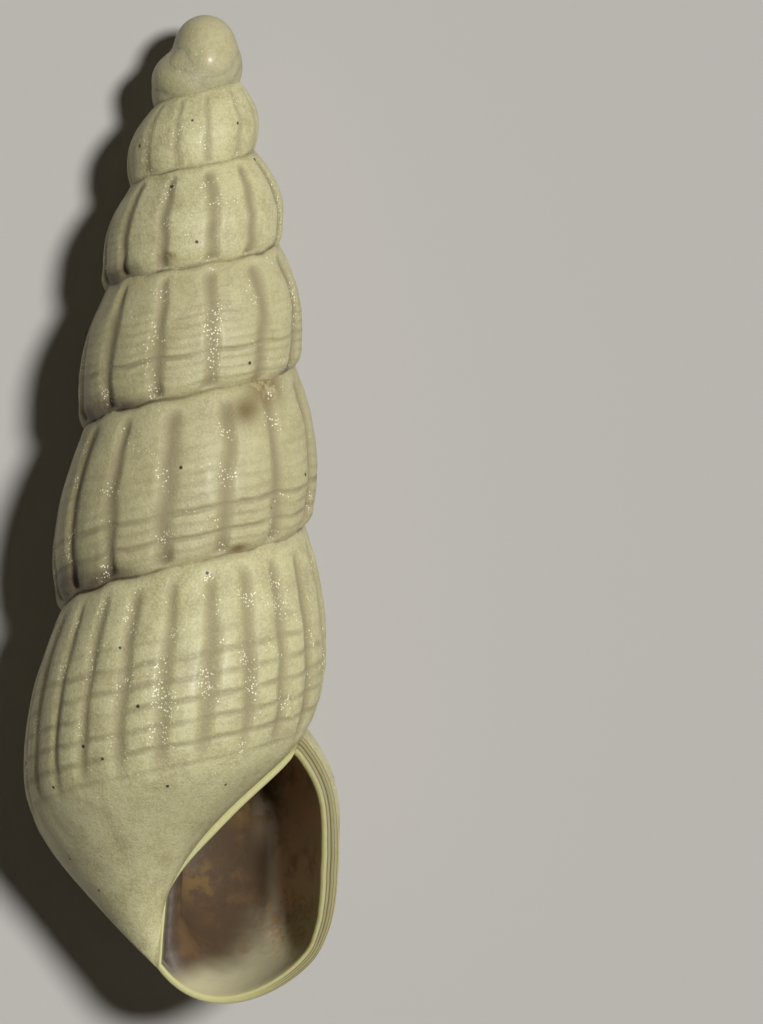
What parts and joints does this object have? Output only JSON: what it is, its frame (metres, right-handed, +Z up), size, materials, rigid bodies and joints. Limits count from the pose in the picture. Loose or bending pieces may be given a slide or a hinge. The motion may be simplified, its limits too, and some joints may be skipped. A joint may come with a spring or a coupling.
{
  "type": "sea snail shell",
  "caption": "Slender high-spired sea snail shell with ribbed whorls and an open mouth, lying on its back.",
  "frame": {"origin": "centre of the shell's footprint box, on the ground it rests on", "axes": "+Y along the shell towards its tip, +Z up, the way the mouth faces, +X towards the outer lip"},
  "size_m": [0.0008, 0.0024, 0.0007],
  "materials": {
    "shell": "satin"
  },
  "bodies": {
    "root": {"shell": "shell"}
  },
  "joints": []
}
